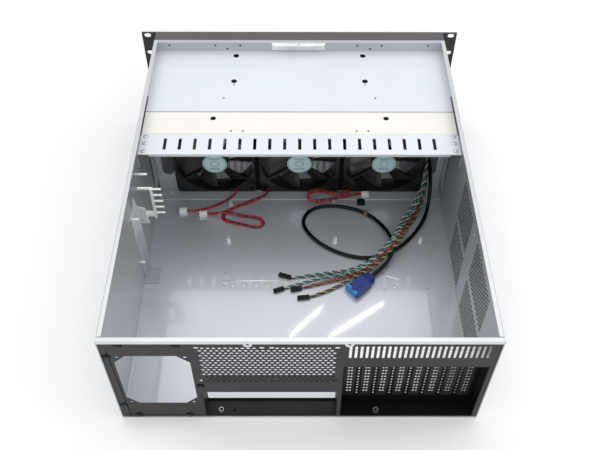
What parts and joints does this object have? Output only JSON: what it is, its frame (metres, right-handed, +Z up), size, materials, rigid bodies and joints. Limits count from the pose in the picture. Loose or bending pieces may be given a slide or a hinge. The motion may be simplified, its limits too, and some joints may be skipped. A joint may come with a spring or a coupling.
{
  "type": "rackmount server case",
  "caption": "Open-top four-unit rackmount server case with a fan wall, slotted crossbar, rear port and card slots, and front cables.",
  "frame": {"origin": "bottom centre of the case's bounding box", "axes": "+Z up, +Y towards the rear panel, +X across the case towards the power supply's side"},
  "size_m": [0.4826, 0.55, 0.177],
  "materials": {
    "galvanised_steel": "semi-gloss zinc plated sheet",
    "bright_steel": "bright zinc plated sheet",
    "white_paint": "satin",
    "black_paint": "fine satin powder coat",
    "screw_steel": "bright plated",
    "black_screw": "black oxide",
    "black_plastic": "matte moulded",
    "smoke_plastic": "smoky moulded",
    "label_film": "pale mint film",
    "white_plastic": "moulded nylon",
    "blue_plastic": "moulded",
    "cable_jacket": "satin jacket",
    "lead_wire": "twisted coloured pairs",
    "fan_wire": "thin red and black wires",
    "circuit_board": "solder mask",
    "clear_lens": "clear moulded"
  },
  "bodies": {
    "case": {"cable_clip": "black_plastic", "cable_comb": "white_plastic", "chassis_tub": "galvanised_steel", "crossbar": "bright_steel", "crossbar_rests": "galvanised_steel", "crossbar_screws": "screw_steel", "drive_bay_cover": "bright_steel", "fan_frame_left": "black_plastic", "fan_frame_middle": "black_plastic", "fan_frame_right": "black_plastic", "fan_labels": "label_film", "fan_lead_left": "fan_wire", "fan_lead_middle": "fan_wire", "fan_lead_right": "fan_wire", "fan_mount_plate": "galvanised_steel", "fan_plug_left": "white_plastic", "fan_plug_middle": "white_plastic", "fan_plug_right": "white_plastic", "fan_screws": "screw_steel", "fan_wall": "bright_steel", "front_board": "circuit_board", "front_bracket": "white_paint", "front_bulkhead": "galvanised_steel", "front_panel": "black_paint", "io_pocket": "black_paint", "light_lenses": "clear_lens", "panel_lead_1": "lead_wire", "panel_lead_2": "lead_wire", "panel_lead_3": "lead_wire", "panel_lead_4": "lead_wire", "panel_plug_1": "black_plastic", "panel_plug_2": "black_plastic", "panel_plug_3": "black_plastic", "panel_plug_4": "black_plastic", "psu_support_bracket": "galvanised_steel", "rear_panel": "black_paint", "rear_rail": "galvanised_steel", "rear_screws": "black_screw", "ring_nuts": "screw_steel", "slot_cover_1": "black_paint", "slot_cover_2": "black_paint", "slot_cover_3": "black_paint", "slot_cover_4": "black_paint", "slot_cover_5": "black_paint", "slot_cover_6": "black_paint", "slot_cover_7": "black_paint", "slot_cover_8": "black_paint", "slot_ledge": "galvanised_steel", "slot_pocket": "black_paint", "slot_screws": "screw_steel", "standoffs": "screw_steel", "switches": "black_plastic", "usb_cable": "cable_jacket", "usb_plug": "blue_plastic", "usb_sockets": "screw_steel"},
    "left_rotor": {"fan_rotor_left": "smoke_plastic"},
    "middle_rotor": {"fan_rotor_middle": "smoke_plastic"},
    "right_rotor": {"fan_rotor_right": "smoke_plastic"},
    "power_key": {"power_button": "black_plastic"},
    "reset_key": {"reset_button": "black_plastic"}
  },
  "joints": [
    {"name": "left_fan_spin", "type": "hinge", "parent": "case", "child": "left_rotor", "pos_m": [0.127, -0.1165, 0.0627], "axis": [0, 1, 0], "continuous": true},
    {"name": "middle_fan_spin", "type": "hinge", "parent": "case", "child": "middle_rotor", "pos_m": [0, -0.1165, 0.0627], "axis": [0, 1, 0], "continuous": true},
    {"name": "right_fan_spin", "type": "hinge", "parent": "case", "child": "right_rotor", "pos_m": [-0.127, -0.1165, 0.0627], "axis": [0, 1, 0], "continuous": true},
    {"name": "power_button_press", "type": "slide", "parent": "case", "child": "power_key", "axis": [0, 1, 0], "range_m": [0, 0.0018], "stiffness_N_per_m": 300, "springref_m": -0.001},
    {"name": "reset_button_press", "type": "slide", "parent": "case", "child": "reset_key", "axis": [0, 1, 0], "range_m": [0, 0.0018], "stiffness_N_per_m": 250, "springref_m": -0.001}
  ]
}
